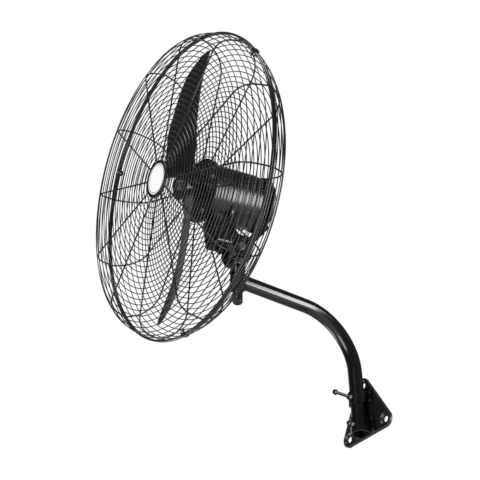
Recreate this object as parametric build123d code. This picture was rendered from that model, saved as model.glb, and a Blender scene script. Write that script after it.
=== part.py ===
from build123d import *
import os
from math import acos, cos, degrees, radians, sin, sqrt

# Wall mounted fan with a bent pipe arm. Millimetres, +Z up, the room towards -Y.
# The origin is the centre of the three wall holes, on the wall face.
# The fan head is drawn in its own frame, with the guard rims' centre at the origin and the
# front of the fan towards -Y, and then tilted about the tilt bolt.

# Wall plate
wall_hole_spacing = 142.0
wall_hole_radius = 8.0
plate_corner_radius = 21.0
plate_depth = 8.0
plate_gauge = 3.0
pad_radius = 18.0
pad_recess_radius = 17.0
pad_floor_radius = 11.5
pad_thickness = 3.5

# Arm pipe
pipe_radius = 19.0
pipe_wall = 2.5
pipe_standoff = 28.0
pipe_bottom = -52.0
bend_radius = 154.0
arm_height = 268.0
post_reach = 395.0

# Saddles that hold the pipe on the plate
saddle_gauge = 4.0
upper_saddle_height = 36.5
upper_saddle_length = 34.0
lower_saddle_height = -39.5
lower_saddle_length = 41.0
saddle_flange = 14.0
rivet_radius = 2.5
rivet_head_radius = 4.5
rivet_head = 2.6
rivet_inset = 5.0

# Bolts
clamp_bolt_radius = 4.0
clamp_bolt_reach = 96.5
clamp_head_radius = 7.5
clamp_flange = 2.5
clamp_hex = 11.0
clamp_hex_height = 5.0
weld_nut = 14.0
weld_nut_height = 7.5
lower_screw_length = 14.0
lower_screw_hex = 10.0
lower_screw_head = 5.0

# Post sleeve, spindle and fork
sleeve_radius = 20.0
sleeve_bore = 16.0
sleeve_below = 26.0
sleeve_above = 52.0
bush_length = 10.0
bush_flange = 2.0
spindle_radius = 12.0
spindle_below = 58.0
cap_radius = 13.0
cap_below = 70.0
sleeve_screw_rise = 37.0
sleeve_screw_turn = -20.0
sleeve_boss_radius = 9.0
sleeve_boss_face = 25.0
sleeve_screw_radius = 4.0
sleeve_screw_hex = 13.0
sleeve_screw_neck = 4.0
sleeve_screw_head = 6.0
fork_base_rise = 56.0
fork_gauge = 5.0
fork_inner = 29.0
fork_depth = 37.0
fork_base_back = 20.0

# Tilt joint
tilt_forward = 12.0
tilt_rise = 82.0
tilt_angle = 10.0
tilt_eye_radius = 18.0
tilt_bolt_radius = 5.0
tilt_bolt_hex = 17.0
tilt_hex_height = 6.5
tilt_nut_height = 8.0
tilt_bolt_past = 2.0
tilt_washer_radius = 10.5
washer_gauge = 2.0
axis_over_tilt = 180.0
rim_before_tilt = 135.0

# Bracket under the motor
ear_gauge = 4.0
ear_front = 119.0
ear_top = -66.0
ear_band = 30.0
window_front = 134.0
window_floor = -138.0
window_slope_start = 184.0
window_slope_end = 230.0
window_shoulder = -80.0
window_round = 12.0
bracket_gauge = 4.0
foot_width = 14.0
foot_half_angle = 34.0
foot_bolt_angle = 25.0
foot_bolt_radius = 3.0
foot_bolt_head = 5.0
foot_bolt_cap = 4.0
shield_bolt_spread = 15.0
shield_bolt_circle = 70.0

# Motor
motor_radius = 78.0
motor_wall = 3.0
flange_radius = 87.0
flange_gauge = 6.0
flange_face = 60.0
bell_end = 78.0
barrel_end = 206.0
boss_radius = 27.0
boss_face = 46.0
bell_wall = 9.0
rear_neck_radius = 54.0
rear_neck_wall = 3.0
shield_radius = 79.0
shield_face = 244.0
shield_gauge = 8.0
shield_boss_radius = 42.0
shield_boss_height = 6.0
vent_count = 10
vent_width = 5.0
vent_inner = 34.0
vent_outer = 54.0
bearing_outer = 20.0
bearing_width = 12.0
shaft_radius = 8.5
shaft_front = -14.0
shaft_back = 240.0
core_start = 100.0
core_end = 178.0
stator_bore = 38.4
rotor_gap = 0.4
winding_inner = 42.0
winding_outer = 62.0
winding_length = 12.0
tie_rod_radius = 2.5
tie_rod_circle = 71.7
tie_rod_count = 4
tie_rod_start = 45.0
tie_nut_hex = 8.0
tie_nut_height = 4.0
rod_clearance = 0.4
core_notch = 2.2

# Switch box under the motor
box_half_width = 28.0
box_front = 67.0
box_back = 114.0
box_bottom = -172.0
box_top = -88.0
box_wall = 2.5
box_round = 9.0
neck_half_width = 18.0
lid_gauge = 2.0
capacitor_radius = 15.0
capacitor_length = 56.0
gland_radius = 9.0
gland_bore = 4.5
gland_length = 18.0
knob_radius = 13.0
knob_length = 14.0
knob_shaft_radius = 3.0
knob_grip_radius = 3.0
switch_width = 18.0
switch_height = 22.0
switch_depth = 14.0
box_screw_radius = 3.2
box_screw_inset = 12.0
shaft_clearance = 1.5

# Guards: two bowls of wire that meet at their rims
rim_radius = 409.5
rim_wire = 3.0
spoke_wire = 2.1
ring_wire = 1.3
spoke_count = 12
spoke_start = 1.7
ring_pitch = 14.0
front_face_inner = 40.0
front_face_depth = 67.0
front_corner_inset = 22.5
front_corner_depth = 63.5
front_bend = 45.0
front_first_ring = 21.0
rear_plate_inner = 40.0
rear_plate_gauge = 2.5
rear_face_inner = 74.0
rear_corner_inset = 28.5
rear_corner_depth = -75.5
rear_bend = 80.0
rear_first_ring = 18.0
guard_screw_circle = 67.0
guard_screw_start = 0.0
guard_screw_count = 4
guard_screw_radius = 3.0
guard_screw_head = 5.5
guard_screw_cap = 4.0
guard_screw_length = 12.0
clip_count = 3
clip_start = 50.0
clip_width = 16.0
clip_gauge = 1.5
clip_depth = 12.0
clip_screw_radius = 2.0
clip_screw_inset = 7.0
clip_screw_past = 4.2
clip_nut_hex = 7.0
clip_nut_height = 3.2
clip_screw_head = 3.8
clip_screw_cap = 2.6

# Badge
centre_plate_radius = 49.0
centre_plate_gauge = 1.5
bezel_radius = 51.0
bezel_depth = 6.0
badge_radius = 42.0
badge_gauge = 2.0

# Propeller: a spider with two steel blades
blade_sweep_radius = 368.0
blade_root_radius = 28.0
blade_gauge = 2.0
blade_angle = 28.0
blade_plane = -22.5
hub_disc_radius = 40.0
hub_disc_gauge = 4.0
hub_radius = 22.0
hub_front = 3.0
hub_back = -42.0
hub_screw_depth = 28.5
hub_screw_radius = 3.0
arm_start = 8.0
arm_end = 110.0
arm_width = 40.0
arm_gauge = 4.0
arm_offset = 30.0
rivet_pin = 2.5
rivet_cap = 4.5
rivet_pitch = 22.0
rivet_rows = (62.0, 98.0)
hub_nut_hex = 24.0
hub_nut_height = 8.0

# Clearances
fit_gap = 0.05
free_gap = 0.3

# Worked out from the sizes above
pitch_circle = wall_hole_spacing / sqrt(3)
bend_start = arm_height - bend_radius
post_y = -post_reach
tilt_y = post_y - tilt_forward
tilt_z = arm_height + tilt_rise
saddle_outer = pipe_radius + fit_gap + saddle_gauge
weld_gap = rim_wire + spoke_wire + fit_gap
ring_offset = ring_wire + spoke_wire + fit_gap
spoke_rim_radius = rim_radius - weld_gap
rim_offset = rim_wire + fit_gap
front_corner_radius = rim_radius - front_corner_inset
rear_corner_radius = rim_radius - rear_corner_inset
clip_inner = rim_radius - clip_depth
clip_screw_circle = rim_radius - clip_screw_inset
flange_end = barrel_end + flange_gauge
shield_end = shield_face + shield_gauge
ear_back = shield_face - fit_gap
foot_middle = ear_front + foot_width / 2 + fit_gap
fork_outer = fork_inner + fork_gauge
ear_outer = fork_inner - free_gap - 2 * fit_gap
rear_face_depth = spoke_wire + fit_gap + rear_plate_gauge - flange_face
head_frame = Pos(0, tilt_y, tilt_z) * Rot(X=tilt_angle) * Pos(0, -rim_before_tilt, axis_over_tilt)


def along_y(radius, start, end):
    """Cylinder on the Y axis between two values of y."""
    return Pos(0, (start + end) / 2, 0) * Rot(X=90) * Cylinder(radius, abs(end - start))


def along_x(radius, start, end):
    return Pos((start + end) / 2, 0, 0) * Rot(Y=90) * Cylinder(radius, abs(end - start))


def along_z(radius, start, end):
    return Pos(0, 0, (start + end) / 2) * Cylinder(radius, abs(end - start))


def block(low, high):
    """Box between two opposite corners."""
    size = [b - a for a, b in zip(low, high)]
    middle = [(a + b) / 2 for a, b in zip(low, high)]
    return Pos(*middle) * Box(*size)


def hexagon(across_flats, height):
    """Hexagon prism that stands on the XY plane."""
    return extrude(RegularPolygon(across_flats / sqrt(3), 6), height)


def hex_y(across_flats, start, end):
    """Hexagon prism on the Y axis from start towards -Y, to end."""
    return Pos(0, start, 0) * Rot(X=90) * hexagon(across_flats, start - end)


def hex_x(across_flats, start, end):
    """Hexagon prism on the X axis from start towards +X, to end."""
    return Pos(start, 0, 0) * Rot(Y=90) * hexagon(across_flats, end - start)


def group(solids):
    return Compound([s for item in solids for s in item.solids()])


def at_angle(angle):
    """Turns a piece drawn above the fan's axis towards -X by this angle."""
    return Rot(Y=-angle)


def spread(piece, count, start):
    return [at_angle(start + k * 360 / count) * piece for k in range(count)]


def wall_holes():
    return [(pitch_circle * sin(radians(a)), pitch_circle * cos(radians(a))) for a in (0, 120, 240)]


# ---------------------------------------------------------------- wall bracket

def rounded_triangle(radius):
    corners = [Pos(x, z) * Circle(radius) for x, z in wall_holes()]
    outline = Sketch() + corners
    return make_hull(outline.edges())


def make_wall_plate():
    face = Plane.XZ
    plate = extrude(face * rounded_triangle(plate_corner_radius), plate_depth)
    plate = fillet(plate.faces().sort_by(Axis.Y)[0].edges(), 2.5)
    plate -= extrude(face * rounded_triangle(plate_corner_radius - plate_gauge), plate_depth - plate_gauge)
    dimple_depth = plate_depth - pad_thickness
    dimple = Rot(X=90) * Cone(pad_floor_radius, pad_recess_radius, dimple_depth)
    for x, z in wall_holes():
        plate += Pos(x, 0, z) * along_y(pad_radius, 0, -plate_depth + 0.5)
        plate -= Pos(x, -pad_thickness - dimple_depth / 2, z) * dimple
        plate -= Pos(x, 0, z) * along_y(wall_hole_radius, 1, -plate_depth)
    for x, z in rivet_places():
        plate -= Pos(x, 0, z) * along_y(rivet_radius + fit_gap, 1, -plate_depth - 1)
    return plate


def rivet_places():
    x = saddle_outer + saddle_flange / 2
    saddles = ((upper_saddle_height, upper_saddle_length), (lower_saddle_height, lower_saddle_length))
    rows = [height + end * (length / 2 - rivet_inset) for height, length in saddles for end in (-1, 1)]
    return [(side * x, z) for side in (-1, 1) for z in rows]


def make_saddle(height, length):
    """Strap bent round the front of the pipe, with a flange each side on the plate."""
    inner = pipe_radius + fit_gap
    seat = -plate_depth
    axis = Pos(0, -pipe_standoff)
    side = 2 * saddle_outer
    profile = axis * Circle(saddle_outer)
    profile += Pos(0, (seat - pipe_standoff) / 2) * Rectangle(side, pipe_standoff + seat)
    flange_y = seat - saddle_gauge / 2
    profile += Pos(0, flange_y) * Rectangle(side + 2 * saddle_flange, saddle_gauge)
    profile -= axis * Circle(inner)
    profile -= Pos(0, (seat - pipe_standoff) / 2) * Rectangle(2 * inner, pipe_standoff + seat)
    profile -= Pos(0, seat + side) * Rectangle(2 * side, 2 * side)
    saddle = Pos(0, 0, height - length / 2) * extrude(profile, length)
    for x, z in rivet_places():
        saddle -= Pos(x, 0, z) * along_y(rivet_radius + fit_gap, 0, -2 * plate_depth)
    hole = along_y(clamp_bolt_radius + fit_gap, -pipe_standoff, -pipe_standoff - 2 * saddle_outer)
    return saddle - Pos(0, 0, height) * hole


def make_saddle_rivets():
    """Shank through strap and plate, a low head on the strap and a tail behind the plate skin."""
    head_y = -plate_depth - saddle_gauge
    tail_y = plate_gauge - plate_depth
    rivet = along_y(rivet_radius, tail_y + 2, head_y)
    head = along_y(rivet_head_radius, head_y - fit_gap, head_y - rivet_head)
    head = fillet(head.faces().sort_by(Axis.Y)[0].edges(), 1.6)
    rivet += along_y(rivet_radius, head_y, head_y - 1)
    rivet += head
    rivet += along_y(rivet_head_radius - 1, tail_y + fit_gap, tail_y + 2)
    return group([Pos(x, 0, z) * rivet for x, z in rivet_places()])


def weld_nut_on(height):
    """Nut welded on the front of a saddle, drilled to clear the screw in it."""
    face = -pipe_standoff - saddle_outer
    nut = hex_y(weld_nut, face + 1.2, face - weld_nut_height)
    nut -= Pos(0, -pipe_standoff, 0) * along_z(saddle_outer + fit_gap, -weld_nut, weld_nut)
    nut -= along_y(clamp_bolt_radius + fit_gap, 0, face - 2 * weld_nut)
    return Pos(0, 0, height) * nut


def make_lower_screw():
    """Short screw in the lower nut; its tip stops just short of the pipe."""
    tip = -pipe_standoff - pipe_radius - free_gap
    head = tip - lower_screw_length
    screw = along_y(clamp_bolt_radius, tip, head)
    screw += hex_y(lower_screw_hex, head, head - lower_screw_head)
    return Pos(0, 0, lower_saddle_height) * screw


def make_clamp_bolt():
    """Long hand bolt that locks the arm in the upper saddle."""
    tip = -pipe_standoff - pipe_radius - free_gap
    head = -clamp_bolt_reach
    bolt = along_y(clamp_bolt_radius, tip, head)
    flange = along_y(clamp_head_radius, head, head - clamp_flange)
    bolt += fillet(flange.edges().filter_by(GeomType.CIRCLE), 0.8)
    bolt += hex_y(clamp_hex, head - clamp_flange, head - clamp_flange - clamp_hex_height)
    return Pos(0, 0, upper_saddle_height) * bolt


# ------------------------------------------------------------------------ arm

def pipe_path():
    y0 = -pipe_standoff
    up = Line((0, y0, pipe_bottom), (0, y0, bend_start))
    bend_mid = bend_radius * (1 - sqrt(0.5))
    bend = ThreePointArc(
        (0, y0, bend_start),
        (0, y0 - bend_mid, bend_start + bend_radius * sqrt(0.5)),
        (0, y0 - bend_radius, arm_height),
    )
    run = Line((0, y0 - bend_radius, arm_height), (0, post_y, arm_height))
    return Wire([up.edge(), bend.edge(), run.edge()])


def make_arm_pipe():
    start = Plane(origin=(0, -pipe_standoff, pipe_bottom), z_dir=(0, 0, 1))
    ring = Circle(pipe_radius) - Circle(pipe_radius - pipe_wall)
    pipe = sweep(start * ring, path=pipe_path())
    sleeve = Pos(0, post_y, arm_height) * along_z(sleeve_radius + fit_gap, -3 * pipe_radius, 3 * pipe_radius)
    wide = 2 * pipe_radius
    past = block((-wide, post_y - wide, arm_height - wide), (wide, post_y, arm_height + wide))
    return pipe - sleeve - past


def make_post_sleeve():
    sleeve = along_z(sleeve_radius, -sleeve_below, sleeve_above)
    boss = along_x(sleeve_boss_radius, 0, sleeve_boss_face)
    sleeve += Pos(0, 0, sleeve_screw_rise) * Rot(Z=sleeve_screw_turn) * boss
    sleeve -= along_z(sleeve_bore, -sleeve_below, sleeve_above)
    hole = along_x(sleeve_screw_radius + fit_gap, 0, 2 * sleeve_boss_face)
    sleeve -= Pos(0, 0, sleeve_screw_rise) * Rot(Z=sleeve_screw_turn) * hole
    return Pos(0, post_y, arm_height) * sleeve


def make_sleeve_bushes():
    """Flanged plastic bushes in both ends of the sleeve."""
    body = sleeve_bore - fit_gap
    top = along_z(body, sleeve_above - bush_length, sleeve_above)
    top += along_z(sleeve_radius, sleeve_above, sleeve_above + bush_flange)
    low = along_z(body, -sleeve_below, bush_length - sleeve_below)
    low += along_z(sleeve_radius, -sleeve_below - bush_flange, -sleeve_below)
    bore = along_z(spindle_radius + fit_gap, -2 * sleeve_below, 2 * sleeve_above)
    return Pos(0, post_y, arm_height) * group([top - bore, low - bore])


def make_sleeve_screw():
    tip = spindle_radius + free_gap
    head = sleeve_boss_face + sleeve_screw_neck
    screw = along_x(sleeve_screw_radius, tip, head)
    screw += hex_x(sleeve_screw_hex, head, head + sleeve_screw_head)
    return Pos(0, post_y, arm_height + sleeve_screw_rise) * Rot(Z=sleeve_screw_turn) * screw


# --------------------------------------------------------------------- swivel

def make_spindle():
    return Pos(0, post_y, arm_height) * along_z(spindle_radius, -spindle_below, fork_base_rise + fork_gauge)


def make_thrust_washer():
    washer = along_z(sleeve_radius, sleeve_above + bush_flange + free_gap, fork_base_rise - fit_gap)
    washer -= along_z(spindle_radius + fit_gap, 0, 2 * fork_base_rise)
    return Pos(0, post_y, arm_height) * washer


def make_spindle_cap():
    """Push-on cap that closes the lower end of the spindle."""
    top = -sleeve_below - bush_flange - free_gap
    cap = along_z(cap_radius, -cap_below, top)
    cap = fillet(cap.faces().sort_by(Axis.Z)[0].edges(), 4)
    cap -= along_z(spindle_radius + fit_gap, -spindle_below - fit_gap, 0)
    return Pos(0, post_y, arm_height) * cap


def side_outline(eye, low, high):
    """Flat cheek in the YZ plane: the hull of the bolt's eye and a rectangle."""
    eye_y, eye_z = eye
    shape = Pos(eye_y, eye_z) * Circle(tilt_eye_radius)
    width, height = high[0] - low[0], high[1] - low[1]
    shape += Pos(low[0] + width / 2, low[1] + height / 2) * Rectangle(width, height)
    return make_hull(shape.edges())


def make_swivel_fork():
    base_z = arm_height + fork_base_rise
    back_y = post_y + fork_base_back
    front_y = back_y - fork_depth
    base = block((-fork_outer, front_y, base_z), (fork_outer, back_y, base_z + fork_gauge))
    base -= Pos(0, post_y, 0) * along_z(spindle_radius + fit_gap, base_z - 1, base_z + 2 * fork_gauge)
    outline = side_outline((tilt_y, tilt_z), (front_y, base_z), (back_y, base_z + fork_gauge))
    cheek = extrude(Plane.YZ * outline, fork_gauge)
    fork = base + Pos(fork_inner, 0, 0) * cheek + Pos(-fork_outer, 0, 0) * cheek
    hole = along_x(tilt_bolt_radius + fit_gap, -2 * fork_outer, 2 * fork_outer)
    return fork - Pos(0, tilt_y, tilt_z) * hole


def make_tilt_bolt():
    seat = fork_outer + washer_gauge
    bolt = along_x(tilt_bolt_radius, -seat - tilt_nut_height - tilt_bolt_past, seat)
    bolt += hex_x(tilt_bolt_hex, seat, seat + tilt_hex_height)
    return Pos(0, tilt_y, tilt_z) * bolt


def make_tilt_washers():
    ring = along_x(tilt_washer_radius, fork_outer, fork_outer + washer_gauge - fit_gap)
    ring -= along_x(tilt_bolt_radius + fit_gap, 0, 2 * fork_outer)
    return Pos(0, tilt_y, tilt_z) * group([ring, Rot(Z=180) * ring])


def make_tilt_nut():
    seat = fork_outer + washer_gauge
    nut = hex_x(tilt_bolt_hex, -seat - tilt_nut_height, -seat)
    nut -= along_x(tilt_bolt_radius + fit_gap, -2 * seat, 0)
    return Pos(0, tilt_y, tilt_z) * nut


# --------------------------------------------------------- bracket and motor

def ear_window():
    """See-through opening in an ear, with a sloped back edge."""
    corners = [
        (window_front, window_floor),
        (window_slope_start, window_floor),
        (window_slope_end, window_shoulder),
        (window_slope_end, 0),
        (window_front, 0),
    ]
    window = make_face(Polyline(*corners, close=True))
    low = window.vertices().sort_by(Axis.Y)[:3]
    return fillet(low, window_round)


def make_tilt_bracket():
    """Two ears on the tilt bolt, a foot under the barrel and an upright plate on the rear shield."""
    eye = (rim_before_tilt, -axis_over_tilt)
    outline = side_outline(eye, (ear_front, ear_top - ear_band), (ear_back, ear_top)) - ear_window()
    ear = extrude(Plane.YZ * outline, ear_gauge)
    bracket = Pos(ear_outer - ear_gauge, 0, 0) * ear + Pos(-ear_outer, 0, 0) * ear
    plate_low = (-ear_outer, ear_back - bracket_gauge, ear_top - ear_band)
    bracket += block(plate_low, (ear_outer, ear_back, ear_top))
    deck_low = (-ear_outer, window_front, window_floor - bracket_gauge)
    bracket += block(deck_low, (ear_outer, window_slope_start, window_floor))
    bracket -= along_y(motor_radius + fit_gap, 0, flange_end + free_gap)
    bracket += make_foot()
    bolt = along_x(tilt_bolt_radius + fit_gap, -2 * fork_outer, 2 * fork_outer)
    bracket -= Pos(0, rim_before_tilt, -axis_over_tilt) * bolt
    bracket -= at_shield_bolts(along_y(foot_bolt_radius + fit_gap, barrel_end, shield_end))
    return bracket - foot_bolt_holes()


def make_foot():
    """Strap bent round the underside of the barrel, with a web down between the ears."""
    inner = motor_radius + fit_gap
    outer = inner + bracket_gauge
    front, back = foot_middle - foot_width / 2, foot_middle + foot_width / 2
    strap = along_y(outer, front, back) - along_y(inner, front - 1, back + 1)
    half = outer * sin(radians(foot_half_angle))
    strap = strap & block((-half, front, -outer), (half, back, 0))
    web_low = (-ear_outer + ear_gauge, foot_middle - bracket_gauge / 2, ear_top - ear_band)
    web = block(web_low, (ear_outer - ear_gauge, foot_middle + bracket_gauge / 2, 0))
    return strap + (web - along_y(inner + 1, front - 1, back + 1))


def at_foot_bolts(shape):
    """A shape drawn above the fan's axis, turned to the two screws of the foot, clear of its web."""
    angles = [180 + side * foot_bolt_angle for side in (-1, 1)]
    return [Pos(0, foot_middle, 0) * at_angle(angle) * shape for angle in angles]


def at_shield_bolts(shape):
    """A shape drawn on the fan's axis, moved to the two screws of the upright plate."""
    height = sqrt(shield_bolt_circle ** 2 - shield_bolt_spread ** 2)
    return [Pos(side * shield_bolt_spread, 0, -height) * shape for side in (-1, 1)]


def foot_bolt_holes():
    inside, outside = motor_radius - 2 * motor_wall, motor_radius + 2 * bracket_gauge
    return at_foot_bolts(along_z(foot_bolt_radius + fit_gap, inside, outside))


def make_bracket_bolts():
    """Screws of the foot, heads outside and ends inside the wall, and screws of the upright plate."""
    seat = motor_radius + bracket_gauge + 2 * fit_gap
    bolt = along_z(foot_bolt_radius, motor_radius - motor_wall + free_gap, seat + 1)
    head = along_z(foot_bolt_head, seat, seat + foot_bolt_cap)
    bolt += fillet(head.faces().sort_by(Axis.Z)[-1].edges(), 1.2)
    face = ear_back - bracket_gauge - fit_gap
    screw = along_y(foot_bolt_radius, face - 1, shield_end - 1)
    cap = along_y(foot_bolt_head, face - foot_bolt_cap, face)
    screw += fillet(cap.faces().sort_by(Axis.Y)[0].edges(), 1.2)
    return group(at_foot_bolts(bolt) + at_shield_bolts(screw))


def tie_rods(radius, start, end):
    rod = Pos(0, 0, tie_rod_circle) * along_y(radius, start, end)
    return spread(rod, tie_rod_count, tie_rod_start)


def guard_screw_holes(end):
    hole = Pos(0, 0, guard_screw_circle) * along_y(guard_screw_radius + fit_gap, 0, end)
    return spread(hole, guard_screw_count, guard_screw_start)


def make_front_bell():
    bell = along_y(flange_radius, flange_face + fit_gap, flange_face + flange_gauge)
    bell = fillet(bell.faces().sort_by(Axis.Y)[-1].edges(), 1.5)
    bell += along_y(motor_radius, flange_face + 1, bell_end - fit_gap)
    bell += along_y(boss_radius, boss_face, flange_face + 1)
    bell -= along_y(motor_radius - bell_wall, bell_end - 8, bell_end)
    bell += along_y(boss_radius, bell_end - 9, front_seat_end())
    bell -= along_y(bearing_outer + fit_gap, front_seat_end() - bearing_width, front_seat_end() + 1)
    bell -= along_y(shaft_radius + shaft_clearance, boss_face - 1, bell_end)
    bell -= guard_screw_holes(flange_face + guard_screw_length - 2)
    bell -= tie_rods(tie_rod_radius + fit_gap, bell_end - 9, bell_end + 1)
    return bell


def front_seat_end():
    return bell_end - 3


def make_barrel():
    barrel = along_y(motor_radius, bell_end, barrel_end)
    barrel -= along_y(motor_radius - motor_wall, bell_end - 1, barrel_end + 1)
    return barrel - foot_bolt_holes()


def make_rear_bell():
    """Shoulder on the barrel, a neck, and a wide shield with air slots."""
    bell = along_y(motor_radius, barrel_end + fit_gap, flange_end)
    bell = fillet(bell.faces().sort_by(Axis.Y)[-1].edges(), 3)
    bell += along_y(rear_neck_radius, barrel_end + 1, shield_face + 1)
    shield = along_y(shield_radius, shield_face, shield_end)
    bell += fillet(shield.edges().filter_by(GeomType.CIRCLE), 2)
    boss = along_y(shield_boss_radius, shield_end - 1, shield_end + shield_boss_height)
    bell += fillet(boss.faces().sort_by(Axis.Y)[-1].edges(), 3)
    inside = along_y(rear_neck_radius - rear_neck_wall, barrel_end, shield_end - rear_neck_wall)
    bell -= fillet(inside.faces().sort_by(Axis.Y)[-1].edges(), 6)
    seat = rear_seat()
    bell += along_y(boss_radius, seat, shield_end - 1)
    bell -= along_y(bearing_outer + fit_gap, seat - 1, seat + bearing_width)
    bell -= along_y(shaft_radius + shaft_clearance, seat, shaft_back + 2)
    slot = block((-vent_width / 2, shield_face, vent_inner), (vent_width / 2, shield_end + 10, vent_outer))
    bell -= spread(slot, vent_count, 0)
    bell -= at_shield_bolts(along_y(foot_bolt_radius + fit_gap, shield_face - 1, shield_end + 1))
    bell -= tie_rods(tie_rod_radius + fit_gap, barrel_end - 1, flange_end + 1)
    return bell


def rear_seat():
    return shaft_back - bearing_width - 2


def make_motor_bearings():
    ring = along_y(bearing_outer, 0, bearing_width) - along_y(shaft_radius + fit_gap, -1, bearing_width + 1)
    front = front_seat_end() - bearing_width + fit_gap
    return group([Pos(0, front, 0) * ring, Pos(0, rear_seat() - fit_gap, 0) * ring])


def make_tie_rods():
    solids = tie_rods(tie_rod_radius, bell_end - 8, flange_end + tie_nut_height + 2)
    nut = hexagon(tie_nut_hex, tie_nut_height) - along_z(tie_rod_radius + fit_gap, -1, tie_nut_height + 1)
    nut = Pos(0, flange_end + fit_gap, tie_rod_circle) * Rot(X=-90) * nut
    return group(solids + spread(nut, tie_rod_count, tie_rod_start))


def make_stator_core():
    core = along_y(motor_radius - motor_wall - fit_gap, core_start, core_end)
    core -= along_y(stator_bore, core_start - 1, core_end + 1)
    core -= tie_rods(tie_rod_radius + rod_clearance, core_start - 1, core_end + 1)
    notch = Pos(0, 0, motor_radius - motor_wall) * along_y(core_notch, core_start - 1, core_end + 1)
    return core - spread(notch, tie_rod_count, tie_rod_start)


def make_stator_windings():
    """The two rolls of wire at the ends of the core."""
    roll = along_y(winding_outer, 0, winding_length) - along_y(winding_inner, -1, winding_length + 1)
    roll = fillet(roll.edges().filter_by(GeomType.CIRCLE), 3)
    front = Pos(0, core_start - winding_length - fit_gap, 0) * roll
    return group([front, Pos(0, core_end + fit_gap, 0) * roll])


# ----------------------------------------------------------------- switch box

def make_switch_box():
    """Open-backed box with a curved neck that seats on the motor barrel."""
    box = block((-box_half_width, box_front, box_bottom), (box_half_width, box_back, box_top))
    box = fillet(box.edges().filter_by(Axis.Y), box_round)
    box = fillet(box.faces().sort_by(Axis.Y)[0].edges(), 3)
    neck = block((-neck_half_width, bell_end + 2, box_top - 1), (neck_half_width, box_back - 4, 0))
    box += neck - along_y(motor_radius + fit_gap, 0, box_back + 1)
    inside_low = (box_wall - box_half_width, box_front + box_wall, box_bottom + box_wall)
    inside = block(inside_low, (box_half_width - box_wall, box_back + 1, box_top - box_wall))
    box -= fillet(inside.edges().filter_by(Axis.Y), box_round - box_wall)
    gland_y = (box_front + box_back) / 2
    box -= Pos(0, gland_y, box_bottom) * along_z(gland_radius - 2 + fit_gap, -1, 2 * box_wall)
    box -= Pos(0, gland_y, box_knob_height()) * along_x(knob_shaft_radius + fit_gap, -2 * box_half_width, 0)
    return box


def box_knob_height():
    return (box_bottom + box_top) / 2


def make_box_lid():
    face = box_back + fit_gap
    lid = block((-box_half_width, face, box_bottom), (box_half_width, box_back + lid_gauge, box_top))
    return fillet(lid.edges().filter_by(Axis.Y), box_round)


def make_box_screws():
    """Two lid screws, seen as low heads on the lid."""
    head = along_y(box_screw_radius, box_back + lid_gauge + fit_gap, box_back + lid_gauge + 2)
    return group([Pos(0, 0, z) * head for z in (box_bottom + box_screw_inset, box_top - box_screw_inset)])


def make_capacitor():
    x = box_half_width - box_wall - capacitor_radius - free_gap
    can = along_z(capacitor_radius, 0, capacitor_length)
    can = fillet(can.edges().filter_by(GeomType.CIRCLE), 2)
    y = box_front + box_wall + capacitor_radius + free_gap
    return Pos(x, y, box_knob_height() - capacitor_length / 2) * can


def make_inlet_gland():
    """Cable gland in the floor of the box. No cord is fitted."""
    gland = hexagon(2 * gland_radius, gland_length - 8)
    gland = Pos(0, 0, -gland_length + 8 - fit_gap) * gland
    gland += along_z(gland_radius - 2, -gland_length, 0)
    gland += along_z(gland_radius - 2, -fit_gap, box_wall + 4)
    gland -= along_z(gland_bore, -2 * gland_length, 2 * gland_length)
    return Pos(0, (box_front + box_back) / 2, box_bottom) * gland


def make_speed_switch():
    """Switch body inside the box, on the wall behind the knob."""
    x = box_wall - box_half_width
    half_width, half_height = switch_width / 2, switch_height / 2
    body = block((x + fit_gap, -half_width, -half_height), (x + switch_depth, half_width, half_height))
    body -= along_x(knob_shaft_radius + fit_gap, -2 * box_half_width, 0)
    return Pos(0, (box_front + box_back) / 2, box_knob_height()) * body


def make_speed_knob():
    face = -box_half_width - free_gap
    knob = along_x(knob_radius, face - knob_length, face)
    knob = fillet(knob.faces().sort_by(Axis.X)[0].edges(), 1.5)
    grip = Pos(0, 0, knob_radius) * along_x(knob_grip_radius, face - knob_length - 1, face - 3)
    knob -= [Rot(X=k * 45) * grip for k in range(8)]
    knob += along_x(knob_shaft_radius, face - 1, face + box_wall + 10)
    return Pos(0, (box_front + box_back) / 2, box_knob_height()) * knob


# --------------------------------------------------------------------- guards

def front_profile():
    """Centre line of one front spoke, from the badge over the corner to the rim."""
    points = [
        (0, -front_face_depth, front_face_inner),
        (0, -front_corner_depth, front_corner_radius),
        (0, -1.0, spoke_rim_radius),
    ]
    return FilletPolyline(*points, radius=front_bend)


def rear_profile():
    """Centre line of one rear spoke: flat over the plate, then out to the corner and the rim."""
    points = [
        (0, -rear_face_depth, rear_face_inner),
        (0, -rear_face_depth, flange_radius + 4),
        (0, -rear_corner_depth, rear_corner_radius),
        (0, 1.0, spoke_rim_radius),
    ]
    return FilletPolyline(*points, radius=rear_bend)


def make_spokes(profile):
    start = Plane(origin=profile @ 0, z_dir=profile % 0)
    spoke = sweep(start * Circle(spoke_wire), path=profile)
    return group(spread(spoke, spoke_count, spoke_start))


def ring_places(profile, first, outward):
    """Centres (y, radius) of the rings laid on the outside of a spoke, at an even pitch."""
    count = int((profile.length - first - ring_pitch / 2) / ring_pitch) + 1
    places = []
    for k in range(count):
        run = first + k * ring_pitch
        point = profile.position_at(run, position_mode=PositionMode.LENGTH)
        along = profile.tangent_at(run, position_mode=PositionMode.LENGTH)
        out_y = outward * along.Z * ring_offset
        out_r = -outward * along.Y * ring_offset
        places.append((point.Y + out_y, point.Z + out_r))
    return places


def ring(radius, depth, wire):
    return Pos(0, depth, 0) * Rot(X=90) * Torus(radius, wire)


def make_rings(places):
    return group([ring(radius, depth, ring_wire) for depth, radius in places])


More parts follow.
